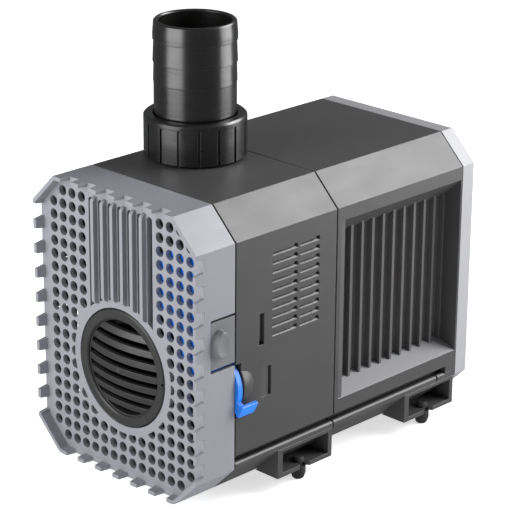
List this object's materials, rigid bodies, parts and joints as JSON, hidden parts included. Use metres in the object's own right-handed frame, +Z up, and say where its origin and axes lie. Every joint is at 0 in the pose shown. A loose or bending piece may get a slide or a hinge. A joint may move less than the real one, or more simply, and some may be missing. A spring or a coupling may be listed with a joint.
{
  "type": "wave maker pump",
  "caption": "Submersible pond and aquarium pump with a perforated strainer cage, flow lever, louvred motor housing and an upright hose outlet with a union nut.",
  "frame": {"origin": "on the floor under the middle of the pump, between its feet", "axes": "+Z up along the outlet; -Y toward the strainer cage at the front; +X toward the side with the flow lever"},
  "size_m": [0.1167, 0.201, 0.2115],
  "materials": {
    "cage_grey": "light satin grey, fine grain",
    "body_graphite": "dark warm grey, fine grain",
    "louvre_graphite": "dark warm grey, a little lighter than the shell, satin",
    "bezel_grey": "light satin grey",
    "grille_dark": "dark grey, satin",
    "tab_grey": "mid grey, satin",
    "control_blue": "saturated blue, low gloss",
    "outlet_black": "black, satin with soft turning marks",
    "rubber_black": "black rubber",
    "inner_black": "black, dull",
    "screw_steel": "stainless, slightly dull",
    "magnet": "dark grey ferrite",
    "ceramic": "off-white ceramic, polished",
    "lamination": "dark lacquered steel",
    "copper": "enamelled copper"
  },
  "bodies": {
    "pump": {"inlet_tube": "inner_black", "lever_pivot_pin": "screw_steel", "pump_body": "body_graphite", "pump_bulkhead": "inner_black", "volute_casing": "inner_black", "volute_cover": "inner_black", "volute_screws": "screw_steel", "volute_seal": "rubber_black", "front_shaft_cup": "rubber_black", "rear_shaft_cup": "rubber_black", "ceramic_shaft": "ceramic", "rotor_can": "inner_black", "stator_core": "lamination", "stator_coils": "copper", "outlet_riser": "outlet_black", "outlet_seal": "rubber_black", "motor_housing": "body_graphite", "motor_front_wall": "inner_black", "stator_cradle": "inner_black", "louvre_panel_right": "louvre_graphite", "louvre_panel_left": "louvre_graphite", "rear_gasket": "rubber_black", "rear_bezel": "bezel_grey", "rear_panel": "body_graphite", "rear_screws": "screw_steel", "cable_gland": "outlet_black", "gland_nut": "outlet_black", "gland_seal": "rubber_black", "base_tray": "body_graphite", "foot_bracket_front_right": "body_graphite", "foot_bracket_rear_right": "body_graphite", "foot_bracket_front_left": "body_graphite", "foot_bracket_rear_left": "body_graphite", "rubber_feet": "rubber_black", "base_screws": "screw_steel"},
    "cage": {"cage_skirt": "cage_grey", "cage_face": "cage_grey"},
    "tab_right": {"release_tab_right": "tab_grey"},
    "tab_left": {"release_tab_left": "tab_grey"},
    "shutter": {"flow_shutter": "control_blue"},
    "lever": {"flow_lever": "control_blue"},
    "grille": {"inlet_grille": "grille_dark"},
    "rotor": {"impeller": "inner_black", "rotor_magnet": "magnet", "rotor_sleeves": "ceramic"},
    "nut": {"union_nut": "outlet_black"},
    "tail": {"hose_tail": "outlet_black"}
  },
  "joints": [
    {"name": "cage_slide", "type": "slide", "parent": "pump", "child": "cage", "axis": [0, -1, 0], "range_m": [0, 0.06]},
    {"name": "tab_right_press", "type": "hinge", "parent": "cage", "child": "tab_right", "pos_m": [0.05345, -0.0913, 0.0861], "axis": [0, 0, 1], "range_deg": [0, 4], "stiffness_Nm_per_rad": 0.05},
    {"name": "tab_left_press", "type": "hinge", "parent": "cage", "child": "tab_left", "pos_m": [-0.05345, -0.0913, 0.0861], "axis": [0, 0, -1], "range_deg": [0, 4], "stiffness_Nm_per_rad": 0.05},
    {"name": "lever_turn", "type": "hinge", "parent": "pump", "child": "lever", "pos_m": [0.04, -0.0745, 0.0598], "axis": [0, -1, 0], "range_deg": [0, 56]},
    {"name": "shutter_lift", "type": "slide", "parent": "cage", "child": "shutter", "axis": [0, 0, 1], "range_m": [0, 0.0095]},
    {"name": "grille_turn", "type": "hinge", "parent": "pump", "child": "grille", "pos_m": [0, -0.0935, 0.0609], "axis": [0, -1, 0], "range_deg": [0, 30]},
    {"name": "rotor_spin", "type": "hinge", "parent": "pump", "child": "rotor", "pos_m": [0, -0.0005, 0.0609], "axis": [0, 1, 0], "continuous": true},
    {"name": "nut_turn", "type": "hinge", "parent": "pump", "child": "nut", "pos_m": [-0.018, -0.0305, 0.1566], "axis": [0, 0, 1], "continuous": true},
    {"name": "tail_turn", "type": "hinge", "parent": "pump", "child": "tail", "pos_m": [-0.018, -0.0305, 0.1866], "axis": [0, 0, 1], "continuous": true}
  ],
  "couplings": [
    {"joint": "shutter_lift", "follows": "lever_turn", "m_per_rad": 0.009607}
  ]
}
